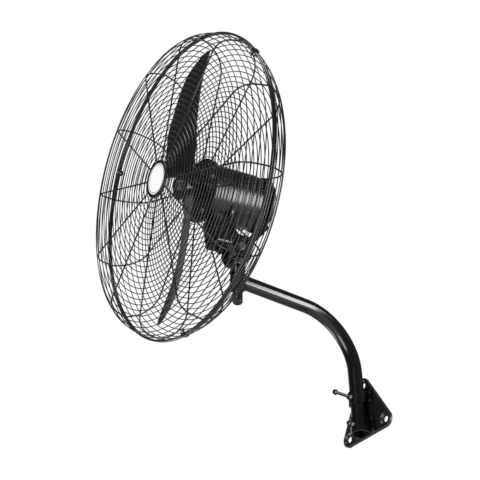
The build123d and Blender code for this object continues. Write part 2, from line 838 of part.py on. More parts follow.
def make_rear_plate():
    """Disc that bolts the rear guard to the motor flange; the spokes are welded on it."""
    plate = along_y(flange_radius, flange_face - rear_plate_gauge, flange_face)
    plate -= along_y(rear_plate_inner, 0, 2 * flange_face)
    return plate - guard_screw_holes(2 * flange_face)


def make_guard_screws():
    face = flange_face - rear_plate_gauge - fit_gap
    screw = along_y(guard_screw_radius, face - 1, face + guard_screw_length)
    head = along_y(guard_screw_head, face - guard_screw_cap, face)
    screw += fillet(head.faces().sort_by(Axis.Y)[0].edges(), 2)
    return group(spread(Pos(0, 0, guard_screw_circle) * screw, guard_screw_count, guard_screw_start))


def make_rim_clips():
    """Sheet clips folded over both rims."""
    reach = 2 * rim_offset + fit_gap
    outer = rim_radius + rim_wire + fit_gap
    half = clip_width / 2
    full = reach + clip_gauge
    clip = block((-half, -full, clip_inner), (half, full, outer + clip_gauge))
    clip -= block((-clip_width, -reach, clip_inner - 1), (clip_width, reach, outer))
    hole = Pos(0, 0, clip_screw_circle) * along_y(clip_screw_radius + fit_gap, -full - 1, full + 1)
    return group(spread(clip - hole, clip_count, clip_start))


def make_clip_screws():
    face = 2 * rim_offset + fit_gap + clip_gauge + fit_gap
    screw = along_y(clip_screw_radius, -face - 1, face + clip_screw_past)
    head = along_y(clip_screw_head, -face - clip_screw_cap, -face)
    screw += fillet(head.faces().sort_by(Axis.Y)[0].edges(), 1.2)
    bore = along_z(clip_screw_radius + fit_gap, -1, 2 * clip_nut_height)
    nut = Pos(0, face, 0) * Rot(X=-90) * (hexagon(clip_nut_hex, clip_nut_height) - bore)
    solids = [Pos(0, 0, clip_screw_circle) * piece for piece in (screw, nut)]
    return group([turned for piece in solids for turned in spread(piece, clip_count, clip_start)])


# ---------------------------------------------------------------------- badge

def badge_seat():
    return -front_face_depth - spoke_wire - fit_gap


def make_centre_plate():
    seat = badge_seat()
    return along_y(centre_plate_radius, seat - centre_plate_gauge, seat)


def make_badge_bezel():
    back = badge_seat() - centre_plate_gauge - fit_gap
    bezel = along_y(bezel_radius, back - bezel_depth, back)
    bezel = fillet(bezel.faces().sort_by(Axis.Y)[0].edges(), 3)
    bezel -= along_y(badge_radius + fit_gap, back - bezel_depth - 1, back - bezel_depth + badge_gauge + 1)
    return bezel


def make_badge_disc():
    """Plain round badge with nothing printed on it."""
    floor = badge_seat() - centre_plate_gauge - fit_gap - bezel_depth + badge_gauge + 1
    disc = along_y(badge_radius, floor - badge_gauge - fit_gap, floor - fit_gap)
    return fillet(disc.faces().sort_by(Axis.Y)[0].edges(), 0.8)


# ------------------------------------------------------------------ propeller

def blade_plane_at(radius, pitch, depth):
    """Section plane across the blade: x along the chord to the trailing edge, y to the front."""
    chord = Vector(-cos(radians(pitch)), -sin(radians(pitch)), 0)
    return Plane(origin=(0, -depth, radius), x_dir=chord, z_dir=(0, 0, 1))


def blade_section(station):
    """Thin strip, half its chord each side of the offset, hollow towards the front."""
    radius, chord, pitch, offset, depth, camber = station
    half = chord / 2
    left, right = offset - half, offset + half
    back_arc = ThreePointArc((left, 0), (offset, -camber), (right, 0))
    front_arc = ThreePointArc((right, blade_gauge), (offset, blade_gauge - camber), (left, blade_gauge))
    right_edge = Line((right, 0), (right, blade_gauge))
    left_edge = Line((left, blade_gauge), (left, 0))
    outline = Wire([e.edge() for e in (back_arc, right_edge, front_arc, left_edge)])
    return blade_plane_at(radius, pitch, depth) * Face(outline)


# Share of the blade's length, chord, pitch, offset of the middle along the chord, depth, arch of the section
blade_shapes = [
    (0.00, 104.0, 19.2, 45.0, blade_plane, 0.1),
    (0.26, 104.0, 19.2, 45.0, blade_plane, 0.1),
    (0.45, 94.0, 19.0, 49.0, -22.0, 2.0),
    (0.63, 82.0, 16.0, 40.0, -16.5, 2.4),
    (0.80, 70.0, 12.4, 21.0, -9.0, 2.0),
    (0.94, 41.0, 9.0, -12.0, -4.0, 1.0),
    (1.00, 14.0, 8.0, -31.0, -4.0, 0.3),
]
blade_stations = [(blade_root_radius + share * (blade_sweep_radius - blade_root_radius), *shape)
                  for share, *shape in blade_shapes]


def make_blade():
    """Flat root under the rivets, then one smooth twisted sheet to the tip."""
    sections = [blade_section(station) for station in blade_stations]
    blade = loft(sections[:2], ruled=True) + loft(sections[1:])
    return blade - rivet_holes()


def blade_flat(low, high, front, back):
    """Plate in the flat root plane of the blade: (offset, radius) corners, between two levels."""
    pitch = blade_stations[0][2]
    plane = blade_plane_at(0, pitch, blade_plane)
    slab = block((low[0], back, low[1]), (high[0], front, high[1]))
    return plane.location * slab


def make_spider():
    """Hub boss with one flat arm behind each blade."""
    hub = along_y(hub_radius, -hub_front, -hub_back)
    hub += along_y(hub_disc_radius, -hub_front, hub_disc_gauge - hub_front)
    half = arm_width / 2
    back = -0.1 - fit_gap
    arm = blade_flat((arm_offset - half, arm_start), (arm_offset + half, arm_end), back, back - arm_gauge)
    hub += arm + Rot(Y=180) * arm
    hub -= along_y(shaft_radius + fit_gap, -2 * hub_front, -2 * hub_back)
    hub -= rivet_holes() + [Rot(Y=180) * hole for hole in rivet_holes()]
    return hub - Pos(0, hub_screw_depth, 0) * along_z(hub_screw_radius + fit_gap, 0, 2 * hub_radius)


def rivet_spots():
    return [(arm_offset + side * rivet_pitch / 2, row) for row in rivet_rows for side in (-1, 1)]


def rivet_at(offset, radius, size, front, back):
    plane = blade_plane_at(0, blade_stations[0][2], blade_plane)
    pin = Pos(offset, (front + back) / 2, radius) * Rot(X=90) * Cylinder(size, front - back)
    return plane.location * pin


def rivet_holes():
    return [rivet_at(s, r, rivet_pin + fit_gap, 10, -12) for s, r in rivet_spots()]


def make_blade_rivets():
    rivets = []
    front = blade_gauge + 0.1
    back = -0.1 - fit_gap - arm_gauge
    for s, r in rivet_spots():
        rivet = rivet_at(s, r, rivet_pin, front + 1, back - 1)
        rivet += rivet_at(s, r, rivet_cap, front + 2, front + fit_gap)
        rivet += rivet_at(s, r, rivet_cap, back - fit_gap, back - 2)
        rivets.append(rivet)
    turned = [Rot(Y=180) * rivet for rivet in rivets]
    return Rot(Y=blade_angle) * group(rivets + turned)


def make_rotor_shaft():
    return along_y(shaft_radius, shaft_front, shaft_back)


def make_rotor_core():
    core = along_y(stator_bore - rotor_gap, core_start, core_end)
    return core - along_y(shaft_radius + fit_gap, core_start - 1, core_end + 1)


def make_hub_nut():
    nut = hex_y(hub_nut_hex, -hub_front - fit_gap, -hub_front - hub_nut_height)
    return nut - along_y(shaft_radius + fit_gap, -2 * hub_nut_height - hub_front, 0)


def make_hub_screw():
    """Grub screw that pins the hub on the shaft."""
    screw = along_z(hub_screw_radius, shaft_radius + fit_gap, hub_radius - 1)
    return Rot(Y=blade_angle) * Pos(0, hub_screw_depth, 0) * screw


# ---------------------------------------------------------------------- write

def split_rings(places, corner):
    """Rings on the face and rings on the corner and side wall."""
    face = [p for p in places if p[1] < corner]
    return face, [p for p in places if p[1] >= corner]


def build_parts():
    fixed = {
        "wall_plate": make_wall_plate(),
        "upper_saddle": make_saddle(upper_saddle_height, upper_saddle_length),
        "lower_saddle": make_saddle(lower_saddle_height, lower_saddle_length),
        "saddle_rivets": make_saddle_rivets(),
        "clamp_weld_nuts": group([weld_nut_on(upper_saddle_height), weld_nut_on(lower_saddle_height)]),
        "lower_screw": make_lower_screw(),
        "clamp_bolt": make_clamp_bolt(),
        "arm_pipe": make_arm_pipe(),
        "post_sleeve": make_post_sleeve(),
        "sleeve_bushes": make_sleeve_bushes(),
        "sleeve_screw": make_sleeve_screw(),
        "spindle": make_spindle(),
        "thrust_washer": make_thrust_washer(),
        "spindle_cap": make_spindle_cap(),
        "swivel_fork": make_swivel_fork(),
        "tilt_bolt": make_tilt_bolt(),
        "tilt_washers": make_tilt_washers(),
        "tilt_nut": make_tilt_nut(),
    }
    front_places = ring_places(front_profile(), front_first_ring, -1)
    rear_places = ring_places(rear_profile(), rear_first_ring, 1)
    front_face, front_side = split_rings(front_places, front_corner_radius - front_bend / 2)
    rear_face, rear_side = split_rings(rear_places, rear_corner_radius - rear_bend / 2)
    spider = make_spider()
    blade = make_blade()
    head = {
        "tilt_bracket": make_tilt_bracket(),
        "bracket_bolts": make_bracket_bolts(),
        "motor_front_bell": make_front_bell(),
        "motor_barrel": make_barrel(),
        "motor_rear_bell": make_rear_bell(),
        "motor_bearings": make_motor_bearings(),
        "motor_tie_rods": make_tie_rods(),
        "stator_core": make_stator_core(),
        "stator_windings": make_stator_windings(),
        "switch_box": make_switch_box(),
        "box_lid": make_box_lid(),
        "box_screws": make_box_screws(),
        "run_capacitor": make_capacitor(),
        "inlet_gland": make_inlet_gland(),
        "speed_switch": make_speed_switch(),
        "speed_knob": make_speed_knob(),
        "rear_guard_plate": make_rear_plate(),
        "guard_screws": make_guard_screws(),
        "rear_guard_spokes": make_spokes(rear_profile()),
        "rear_guard_rings": make_rings(rear_face),
        "rear_guard_side_rings": make_rings(rear_side),
        "rear_guard_rim": ring(rim_radius, rim_offset, rim_wire),
        "front_guard_spokes": make_spokes(front_profile()),
        "front_guard_rings": make_rings(front_face),
        "front_guard_side_rings": make_rings(front_side),
        "front_guard_rim": ring(rim_radius, -rim_offset, rim_wire),
        "rim_clips": make_rim_clips(),
        "clip_screws": make_clip_screws(),
        "guard_centre_plate": make_centre_plate(),
        "badge_bezel": make_badge_bezel(),
        "badge_disc": make_badge_disc(),
        "rotor_shaft": make_rotor_shaft(),
        "rotor_core": make_rotor_core(),
        "blade_spider": Rot(Y=blade_angle) * spider,
        "blade_upper": Rot(Y=blade_angle) * blade,
        "blade_lower": Rot(Y=blade_angle + 180) * blade,
        "blade_rivets": make_blade_rivets(),
        "hub_nut": make_hub_nut(),
        "hub_screw": make_hub_screw(),
    }
    return fixed | {name: head_frame * shape for name, shape in head.items()}


def main():
    os.makedirs("parts", exist_ok=True)
    for name, shape in build_parts().items():
        export_step(shape, f"parts/{name}.step")


main()
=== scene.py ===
import bpy
from math import pi, radians
from mathutils import Euler, Matrix, Vector


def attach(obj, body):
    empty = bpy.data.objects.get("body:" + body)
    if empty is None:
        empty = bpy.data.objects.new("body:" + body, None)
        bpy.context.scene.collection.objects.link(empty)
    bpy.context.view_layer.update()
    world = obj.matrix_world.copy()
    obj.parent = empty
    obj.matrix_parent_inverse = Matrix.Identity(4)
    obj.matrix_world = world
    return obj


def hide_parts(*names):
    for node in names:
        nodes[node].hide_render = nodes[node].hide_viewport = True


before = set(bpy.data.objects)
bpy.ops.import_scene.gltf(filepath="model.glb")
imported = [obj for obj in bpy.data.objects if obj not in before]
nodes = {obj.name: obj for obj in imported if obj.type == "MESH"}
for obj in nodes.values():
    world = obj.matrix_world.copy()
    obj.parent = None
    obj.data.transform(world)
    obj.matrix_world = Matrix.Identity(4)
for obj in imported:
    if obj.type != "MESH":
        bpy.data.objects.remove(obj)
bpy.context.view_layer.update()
print("frame loaded:", len(nodes), "nodes")

mm = 0.001

# The fan head is drawn with the rims' centre at the origin and the front towards -Y, then put here.
headSet = {"tilt": 10.0, "pivot": (0.0, -407.0, 350.0), "rimFromPivot": (0.0, -135.0, 180.0)}
headTurn = Matrix.Rotation(radians(headSet["tilt"]), 4, "X")
headPlace = Matrix.Translation(Vector(headSet["pivot"]) * mm) @ headTurn @ Matrix.Translation(
    Vector(headSet["rimFromPivot"]) * mm,
)
headCentre = headPlace.translation.copy()


# The camera that was fitted to the photograph; lens and sensor in millimetres, place in metres

cameraSet = {
    "place": (1.5695, -1.4160, -1.0572), "right": (0.5480, 0.8364, 0.0),
    "forward": (-0.6605, 0.4327, 0.6136), "lens": 67.5,
}


def makeCamera():
    back = -Vector(cameraSet["forward"]).normalized()
    right = Vector(cameraSet["right"]).normalized()
    up = back.cross(right).normalized()
    data = bpy.data.cameras.new("camera")
    data.lens = cameraSet["lens"]
    data.sensor_width = 36.0
    data.clip_end = 60.0
    cam = bpy.data.objects.new("camera", data)
    cam.matrix_world = Matrix.Translation(
        cameraSet["place"],
    ) @ Matrix((right, up, back)).transposed().to_4x4()
    bpy.context.scene.collection.objects.link(cam)
    bpy.context.scene.camera = cam


makeCamera()


# Small helpers for colours, nodes and shaders

def linear(hexColour):
    # sRGB hex to the linear values that the shaders take
    parts = [int(hexColour[i:i + 2], 16) / 255 for i in (1, 3, 5)]
    return tuple(c / 12.92 if c <= 0.04045 else ((c + 0.055) / 1.055) ** 2.4 for c in parts) + (1.0,)


def addNode(tree, kind, settings=None, values=None, links=None):
    # settings are the node's own properties, values its sockets, links the sockets that feed it
    node = tree.nodes.new(kind)
    for key, value in (settings or {}).items():
        setattr(node, key, value)
    for key, value in (values or {}).items():
        node.inputs[key].default_value = value
    for key, source in (links or {}).items():
        tree.links.new(source, node.inputs[key])
    return node


def newMaterial(name):
    mat = bpy.data.materials.new(name)
    mat.use_nodes = True
    return mat, mat.node_tree, mat.node_tree.nodes["Principled BSDF"]


def setShader(shader, **values):
    names = {
        "colour": "Base Color", "roughness": "Roughness", "metallic": "Metallic", "ior": "IOR",
        "coat": "Coat Weight", "coatRoughness": "Coat Roughness",
    }
    for key, value in values.items():
        shader.inputs[names[key]].default_value = value


# Light: a dim white room, so that black gloss stays black, and soft boxes that draw its highlights

lightSet = {
    "room": 0.11,
    "aim": (0.0, -0.35, 0.35),  # the boxes face the fan's middle
    "backdropWay": (-0.70, 0.45, 0.45),  # where the white backdrop hangs, seen from the fan
    "backdropEdge": (0.70, 0.86),
    "boxes": {
        # way from the fan, distance, width and height in metres, watts
        "rightBox": ((0.77, 0.55, -0.24), 2.6, (0.7, 2.1), 78.0),
        "lowFrontBox": ((0.05, -0.86, -0.50), 2.8, (1.7, 1.5), 50.0),
        "leftBox": ((-0.90, -0.15, -0.40), 3.0, (1.2, 1.2), 26.0),
        "highFrontBox": ((0.35, -0.62, 0.72), 2.8, (1.2, 1.0), 52.0),
    },
}


def makeWorld():
    world = bpy.data.worlds.new("dimRoom")
    world.use_nodes = True
    tree = world.node_tree
    tree.nodes.clear()
    path = addNode(tree, "ShaderNodeLightPath")
    seen = addNode(
        tree, "ShaderNodeMath", {"operation": "MAXIMUM"},
        links={0: path.outputs["Is Camera Ray"], 1: path.outputs["Is Transmission Ray"]},
    )
    way = addNode(tree, "ShaderNodeTexCoord")
    behind = addNode(
        tree, "ShaderNodeVectorMath", {"operation": "DOT_PRODUCT"},
        values={1: lightSet["backdropWay"]},
        links={0: way.outputs["Generated"]},
    )
    spread = addNode(
        tree, "ShaderNodeMapRange",
        values={"From Min": lightSet["backdropEdge"][0], "From Max": lightSet["backdropEdge"][1]},
        links={"Value": behind.outputs["Value"]},
    )
    gloss = addNode(
        tree, "ShaderNodeMath", {"operation": "MULTIPLY"},
        links={0: spread.outputs[0], 1: path.outputs["Is Glossy Ray"]},
    )
    white = addNode(
        tree, "ShaderNodeMath", {"operation": "MAXIMUM"},
        links={0: seen.outputs[0], 1: gloss.outputs[0]},
    )
    lit = addNode(
        tree, "ShaderNodeBackground",
        values={"Color": linear("#ffffff"), "Strength": lightSet["room"]},
    )
    shown = addNode(tree, "ShaderNodeBackground", values={"Color": linear("#ffffff"), "Strength": 1.0})
    mix = addNode(
        tree, "ShaderNodeMixShader",
        links={0: white.outputs[0], 1: lit.outputs[0], 2: shown.outputs[0]},
    )
    addNode(tree, "ShaderNodeOutputWorld", links={"Surface": mix.outputs[0]})
    bpy.context.scene.world = world


def addBox(name, way, distance, size, power):
    data = bpy.data.lights.new(name, "AREA")
    data.shape = "RECTANGLE"
    data.size, data.size_y = size
    data.energy = power
    lamp = bpy.data.objects.new(name, data)
    aim = Vector(lightSet["aim"])
    place = aim + Vector(way).normalized() * distance
    facing = (aim - place).to_track_quat("-Z", "Y").to_matrix().to_4x4()
    lamp.matrix_world = Matrix.Translation(place) @ facing
    bpy.context.scene.collection.objects.link(lamp)


makeWorld()
for boxName, boxSizes in lightSet["boxes"].items():
    addBox(boxName, *boxSizes)
bpy.context.scene.view_settings.view_transform = "Standard"


def paleFloor():
    # Matt white studio floor: pale to the camera, weaker in gloss so that black coats stay black from
    # below, and it keeps the shadow
    mat, tree, shader = newMaterial("matteWhiteFloor")
    setShader(shader, colour=linear("#f6f6f6"), roughness=0.9)
    path = addNode(tree, "ShaderNodeLightPath")
    seen = addNode(
        tree, "ShaderNodeMath", {"operation": "MAXIMUM"},
        links={0: path.outputs["Is Camera Ray"], 1: path.outputs["Is Transmission Ray"]},
    )
    clear = addNode(
        tree, "ShaderNodeMath", {"operation": "MULTIPLY"}, values={1: floorSet["lift"]},
        links={0: seen.outputs[0]},
    )
    lift = addNode(
        tree, "ShaderNodeMath", {"operation": "MULTIPLY_ADD"}, values={1: floorSet["glossLift"]},
        links={0: path.outputs["Is Glossy Ray"], 2: clear.outputs[0]},
    )
    glow = addNode(
        tree, "ShaderNodeEmission",
        values={"Color": linear("#ffffff")},
        links={"Strength": lift.outputs[0]},
    )
    both = addNode(tree, "ShaderNodeAddShader", links={0: shader.outputs[0], 1: glow.outputs[0]})
    tree.links.new(both.outputs[0], tree.nodes["Material Output"].inputs["Surface"])
    return mat


floorSet = {"half": 8.0, "height": -1.7, "lift": 0.78, "glossLift": 0.12}  # metres, below the wall holes


def makeFloor():
    half, low = floorSet["half"], floorSet["height"]
    mesh = bpy.data.meshes.new("studioFloor")
    mesh.from_pydata(
        [(-half, -half, low), (half, -half, low), (half, half, low), (-half, half, low)], [],
        [(0, 1, 2, 3)],
    )
    mesh.materials.append(paleFloor())
    ground = bpy.data.objects.new("studioFloor", mesh)
    bpy.context.scene.collection.objects.link(ground)


# Materials, one function for each kind

def powderCoat(name, colour, roughness, dustSpan, peelSize, peelDepth):
    # Powder coat on steel, baked: black with a soft shine, and a faint orange peel about 3 mm across,
    # drawn coarser than the real 1 mm so that it shows; dust dulls it in broad patches
    mat, tree, shader = newMaterial(name)
    setShader(shader, colour=linear(colour), ior=1.5)
    place = addNode(tree, "ShaderNodeTexCoord")
    peel = addNode(
        tree, "ShaderNodeTexNoise",
        values={"Scale": 1 / (peelSize * mm), "Detail": 2.0},
        links={"Vector": place.outputs["Object"]},
    )
    bump = addNode(
        tree, "ShaderNodeBump",
        values={"Strength": 0.3, "Distance": peelDepth * mm},
        links={"Height": peel.outputs["Fac"]},
    )
    patch = addNode(
        tree, "ShaderNodeTexNoise",
        values={"Scale": 1 / (60 * mm), "Detail": 3.0},
        links={"Vector": place.outputs["Object"]},
    )
    dull = addNode(
        tree, "ShaderNodeMapRange",
        values={"From Min": 0.35, "From Max": 0.7, "To Min": roughness, "To Max": roughness + dustSpan},
        links={"Value": patch.outputs["Fac"]},
    )
    tree.links.new(dull.outputs[0], shader.inputs["Roughness"])
    tree.links.new(bump.outputs[0], shader.inputs["Normal"])
    return mat


def platedSteel(name, colour, roughness):
    # Zinc plate on turned steel: metal with fine turning marks, about 0.6 mm apart
    mat, tree, shader = newMaterial(name)
    setShader(shader, colour=linear(colour), metallic=1.0)
    place = addNode(tree, "ShaderNodeTexCoord")
    marks = addNode(
        tree, "ShaderNodeTexNoise",
        values={"Scale": 1 / (0.6 * mm), "Detail": 2.0},
        links={"Vector": place.outputs["Object"]},
    )
    bump = addNode(
        tree, "ShaderNodeBump",
        values={"Strength": 0.15, "Distance": 0.02 * mm},
        links={"Height": marks.outputs["Fac"]},
    )
    stain = addNode(
        tree, "ShaderNodeTexNoise",
        values={"Scale": 1 / (7 * mm), "Detail": 3.0},
        links={"Vector": place.outputs["Object"]},
    )
    dull = addNode(
        tree, "ShaderNodeMapRange",
        values={"From Min": 0.3, "From Max": 0.7, "To Min": roughness - 0.06, "To Max": roughness + 0.14},
        links={"Value": stain.outputs["Fac"]},
    )
    tree.links.new(dull.outputs[0], shader.inputs["Roughness"])
    tree.links.new(bump.outputs[0], shader.inputs["Normal"])
    return mat


def mouldedPlastic(name, colour, roughness):
    # Injection moulded plastic: even colour, fine spark texture of about 0.8 mm
    mat, tree, shader = newMaterial(name)
    setShader(shader, colour=linear(colour), roughness=roughness, ior=1.49)
    place = addNode(tree, "ShaderNodeTexCoord")
    grain = addNode(
        tree, "ShaderNodeTexNoise",
        values={"Scale": 1 / (0.8 * mm), "Detail": 1.0},
        links={"Vector": place.outputs["Object"]},
    )
    bump = addNode(
        tree, "ShaderNodeBump",
        values={"Strength": 0.2, "Distance": 0.03 * mm},
        links={"Height": grain.outputs["Fac"]},
    )
    tree.links.new(bump.outputs[0], shader.inputs["Normal"])
    return mat


def enamelledBadge(name, colour, lineColour, roughness):
    # White stoved enamel on a pressed disc, glossy, with one thin grey line near its edge
    mat, tree, shader = newMaterial(name)
    setShader(shader, roughness=roughness, ior=1.5)
    place = addNode(tree, "ShaderNodeTexCoord")
    centred = addNode(
        tree, "ShaderNodeMapping", {"vector_type": "TEXTURE"},
        values={"Location": badgeSet["centre"], "Rotation": (radians(headSet["tilt"]), 0.0, 0.0)},
        links={"Vector": place.outputs["Object"]},
    )
    flat = addNode(
        tree, "ShaderNodeVectorMath", {"operation": "MULTIPLY"},
        values={1: (1.0, 0.0, 1.0)},
        links={0: centred.outputs[0]},
    )
    radius = addNode(tree, "ShaderNodeVectorMath", {"operation": "LENGTH"}, links={0: flat.outputs[0]})
    away = addNode(
        tree, "ShaderNodeMath", {"operation": "SUBTRACT"},
        values={1: badgeSet["line"] * mm},
        links={0: radius.outputs["Value"]},
    )
    off = addNode(tree, "ShaderNodeMath", {"operation": "ABSOLUTE"}, links={0: away.outputs[0]})
    amount = addNode(
        tree, "ShaderNodeMapRange",
        values={
            "From Min": badgeSet["lineWidth"] * mm / 2, "From Max": badgeSet["lineWidth"] * mm,
            "To Min": 1.0, "To Max": 0.0,
        },
        links={"Value": off.outputs[0]},
    )
    paint = addNode(
        tree, "ShaderNodeMix", {"data_type": "RGBA"},
        values={"A": linear(colour), "B": linear(lineColour)},
        links={"Factor": amount.outputs[0]},
    )
    tree.links.new(paint.outputs["Result"], shader.inputs["Base Color"])
    grain = addNode(
        tree, "ShaderNodeTexNoise",
        values={"Scale": 1 / (2.5 * mm), "Detail": 1.0},
        links={"Vector": place.outputs["Object"]},
    )
    bump = addNode(
        tree, "ShaderNodeBump",
        values={"Strength": 0.15, "Distance": 0.02 * mm},
        links={"Height": grain.outputs["Fac"]},
    )
    tree.links.new(bump.outputs[0], shader.inputs["Normal"])
    return mat


badgeSet = {"centre": tuple(headPlace @ (Vector((0.0, -75.0, 0.0)) * mm)), "line": 37.5, "lineWidth": 1.6}

frameCoat = powderCoat("blackPowderCoatedTube", "#0c0c0d", 0.17, 0.03, 3.0, 0.002)
plateCoat = powderCoat("blackPowderCoatedPlate", "#0e0e0f", 0.34, 0.1, 3.0, 0.01)
motorCoat = powderCoat("blackPowderCoatedCasting", "#0b0b0c", 0.25, 0.06, 3.0, 0.006)
wireCoat = powderCoat("blackPowderCoatedWire", "#1a1a1b", 0.2, 0.1, 3.0, 0.008)
bladeCoat = powderCoat("blackPaintedSheetSteel", "#161617", 0.34, 0.1, 3.0, 0.015)
zincSteel = platedSteel("zincPlatedSteel", "#c2c3c6", 0.46)
blackSteel = platedSteel("blackenedSteel", "#3a3a3c", 0.34)
yellowZinc = platedSteel("yellowZincPlatedSteel", "#a39a82", 0.36)
bearingSteel = platedSteel("groundSteel", "#8b8c8e", 0.28)
lamination = platedSteel("laminatedSteel", "#5c5c60", 0.5)
copperWire = platedSteel("enamelledCopper", "#b0683a", 0.36)
blackPlastic = mouldedPlastic("blackNylon", "#0d0d0e", 0.4)
palePlastic = mouldedPlastic("naturalNylon", "#d9d5c8", 0.45)
whitePlastic = enamelledBadge("whiteEnamelledBadge", "#f2f2f3", "#8f9094", 0.28)

finishes = {
    plateCoat: ("wall_plate", "saddle_rivets", "clamp_weld_nuts"),
    frameCoat: (
        "upper_saddle", "lower_saddle", "arm_pipe", "post_sleeve", "swivel_fork", "tilt_bracket",
        "blade_spider",
    ),
    motorCoat: ("motor_front_bell", "motor_barrel", "motor_rear_bell", "switch_box", "box_lid"),
    wireCoat: (
        "rear_guard_plate", "rear_guard_spokes", "rear_guard_rings", "rear_guard_side_rings",
        "rear_guard_rim", "front_guard_spokes", "front_guard_rings",
        "front_guard_side_rings", "front_guard_rim", "guard_centre_plate", "rim_clips",
    ),
    bladeCoat: ("blade_upper", "blade_lower"),
    zincSteel: (
        "thrust_washer", "bracket_bolts", "motor_tie_rods", "box_screws", "guard_screws", "clip_screws",
        "hub_nut", "hub_screw",
    ),
    blackSteel: ("clamp_bolt", "lower_screw", "blade_rivets"),
    bearingSteel: ("rotor_shaft", "motor_bearings", "spindle"),
    yellowZinc: ("tilt_bolt", "tilt_washers", "tilt_nut", "sleeve_screw"),
    lamination: ("stator_core", "rotor_core"),
    copperWire: ("stator_windings",),
    blackPlastic: (
        "spindle_cap", "inlet_gland", "sleeve_bushes", "speed_knob", "badge_bezel", "run_capacitor",
    ),
    palePlastic: ("speed_switch",),
    whitePlastic: ("badge_disc",),
}
for mat, names in finishes.items():
    for name in names:
        solid = nodes[name]
        if not solid.material_slots:
            solid.data.materials.append(mat)
        for holder in solid.material_slots:
            holder.material = mat
print("materials on", sum(len(names) for names in finishes.values()), "nodes")


makeFloor()


# Wire guards, made by one Geometry Nodes tree each for the rings, the spokes and the rims

def treeWith(name, sizes):
    # An empty tree with a named input for each size and one mesh output; gives the tree, the input
    # node and the sockets' identifiers
    tree = bpy.data.node_groups.new(name, "GeometryNodeTree")
    tree.is_modifier = True
    tree.interface.new_socket(name="Geometry", in_out="OUTPUT", socket_type="NodeSocketGeometry")
    kinds = {float: "NodeSocketFloat", int: "NodeSocketInt", tuple: "NodeSocketVector"}
    identifiers = {}
    for label, value in sizes.items():
        kind = "NodeSocketMaterial" if isinstance(value, bpy.types.Material) else kinds[type(value)]
        identifiers[label] = tree.interface.new_socket(
            name=label, in_out="INPUT", socket_type=kind,
        ).identifier
    given = addNode(tree, "NodeGroupInput")
    return tree, given, identifiers


def finishTree(tree, given, geometry):
    # Out of the head's own frame into the model's, then plain geometry with its material
    moved = addNode(
        tree, "GeometryNodeTransform",
        links={
            "Geometry": geometry, "Translation": given.outputs["Head place"],
            "Rotation": given.outputs["Head turn"],
        },
    )
    real = addNode(tree, "GeometryNodeRealizeInstances", links={"Geometry": moved.outputs[0]})
    coated = addNode(
        tree, "GeometryNodeSetMaterial",
        links={"Geometry": real.outputs[0], "Material": given.outputs["Material"]},
    )
    addNode(tree, "NodeGroupOutput", links={0: coated.outputs[0]})


def meshFromTree(name, tree, identifiers, sizes):
    holder = bpy.data.objects.new(name + "Source", bpy.data.meshes.new(name + "Source"))
    bpy.context.scene.collection.objects.link(holder)
    modifier = holder.modifiers.new("make", "NODES")
    modifier.node_group = tree
    for label, value in sizes.items():
        modifier[identifiers[label]] = value
    bpy.context.view_layer.update()
    seen = holder.evaluated_get(bpy.context.evaluated_depsgraph_get())
    mesh = bpy.data.meshes.new_from_object(seen)
    mesh.name = name
    holder.modifiers.remove(modifier)
    bpy.data.objects.remove(holder)
    piece = bpy.data.objects.new(name, mesh)
    bpy.context.scene.collection.objects.link(piece)
    print(name, "has", len(mesh.polygons), "faces")
    return piece


def profileNodes(tree, given):
    # The centre line of one spoke: four corners, rounded
    index = addNode(tree, "GeometryNodeInputIndex")
    corner = addNode(tree, "GeometryNodeIndexSwitch", {"data_type": "VECTOR"})
    while len(corner.index_switch_items) < 4:
        corner.index_switch_items.new()
    tree.links.new(index.outputs[0], corner.inputs["Index"])
    for k, label in enumerate(("Inner point", "Plate point", "Corner point", "Rim point")):
        tree.links.new(given.outputs[label], corner.inputs[k + 1])
    line = addNode(tree, "GeometryNodeMeshLine", values={"Count": 4})
    shaped = addNode(
        tree, "GeometryNodeSetPosition",
        links={"Geometry": line.outputs[0], "Position": corner.outputs[0]},
    )
    curve = addNode(tree, "GeometryNodeMeshToCurve", links={"Mesh": shaped.outputs[0]})
    return addNode(
        tree, "GeometryNodeFilletCurve", {"mode": "POLY"},
        values={"Count": 12},
        links={"Curve": curve.outputs[0], "Radius": given.outputs["Bend radius"]},
    )


def wireAlong(tree, curve, radius, sides):
    section = addNode(
        tree, "GeometryNodeCurvePrimitiveCircle",
        values={"Resolution": sides},
        links={"Radius": radius},
    )
    tube = addNode(
        tree, "GeometryNodeCurveToMesh",
        values={"Fill Caps": True},
        links={"Curve": curve, "Profile Curve": section.outputs[0]},
    )
    return addNode(tree, "GeometryNodeSetShadeSmooth", links={"Geometry": tube.outputs[0]})


guardShared = {
    "Head place": tuple(headCentre), "Head turn": (radians(headSet["tilt"]), 0.0, 0.0),
    "Material": wireCoat,
}

spokeSet = {"count": 12, "start": 1.7, "wire": 2.1, "sides": 10}
frontLine = {
    "Inner point": (0.0, -67.0, 40.0), "Plate point": (0.0, -66.6, 80.0),
    "Corner point": (0.0, -63.5, 387.0), "Rim point": (0.0, -1.0, 404.35), "Bend radius": 45.0,
}
rearLine = {
    "Inner point": (0.0, 55.35, 74.0), "Plate point": (0.0, 55.35, 91.0),
    "Corner point": (0.0, 75.5, 381.0), "Rim point": (0.0, 1.0, 404.35), "Bend radius": 80.0,
}


def inMetres(sizes):
    return {k: tuple(c * mm for c in v) if isinstance(v, tuple) else v * mm for k, v in sizes.items()}


